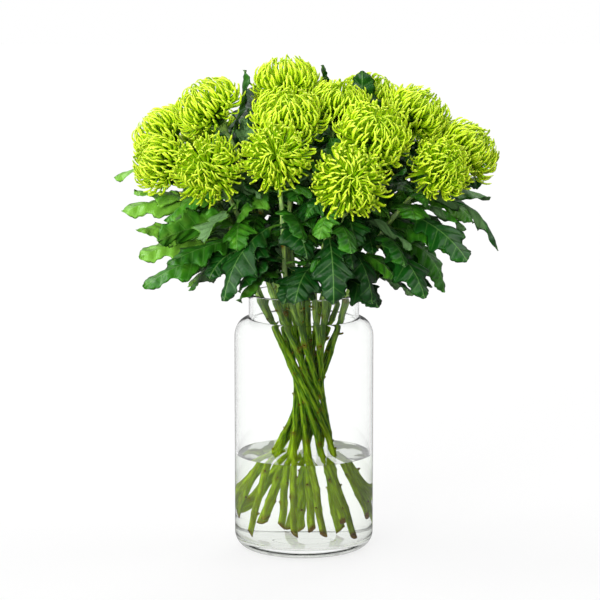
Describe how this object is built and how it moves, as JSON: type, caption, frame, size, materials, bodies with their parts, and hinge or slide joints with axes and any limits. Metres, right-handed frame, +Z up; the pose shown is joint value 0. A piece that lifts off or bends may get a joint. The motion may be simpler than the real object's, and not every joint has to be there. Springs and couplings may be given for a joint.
{
  "type": "disbud chrysanthemum",
  "caption": "Bouquet of lime-green spider disbud chrysanthemums with lobed leaves, standing in a clear glass vase of water.",
  "frame": {"origin": "centre of the vase's flat underside, on the surface that it stands on", "axes": "+Z up along the vase's axis; the bouquet's front, as in the picture, faces -Y, and +X is to its right"},
  "size_m": [0.5189, 0.419, 0.6645],
  "materials": {
    "glass": "clear, polished",
    "water": "clear liquid",
    "foliage": "satin leaf and stem",
    "petals": "soft petal"
  },
  "bodies": {
    "root": {"vase": "glass", "water": "water", "leafy_stem_01": "foliage", "leafy_stem_02": "foliage", "leafy_stem_03": "foliage", "leafy_stem_04": "foliage", "leafy_stem_05": "foliage", "leafy_stem_06": "foliage", "leafy_stem_07": "foliage", "leafy_stem_08": "foliage", "leafy_stem_09": "foliage", "leafy_stem_10": "foliage", "leafy_stem_11": "foliage", "leafy_stem_12": "foliage", "leafy_stem_13": "foliage", "leafy_stem_14": "foliage", "leafy_stem_15": "foliage", "leafy_stem_16": "foliage", "leafy_stem_17": "foliage", "leafy_stem_18": "foliage", "leafy_stem_19": "foliage", "bloom_01": "petals", "bloom_02": "petals", "bloom_03": "petals", "bloom_04": "petals", "bloom_05": "petals", "bloom_06": "petals", "bloom_07": "petals", "bloom_08": "petals", "bloom_09": "petals", "bloom_10": "petals", "bloom_11": "petals", "bloom_12": "petals", "bloom_13": "petals", "bloom_14": "petals", "bloom_15": "petals", "bloom_16": "petals", "bloom_17": "petals", "bloom_18": "petals", "bloom_19": "petals"}
  },
  "joints": []
}
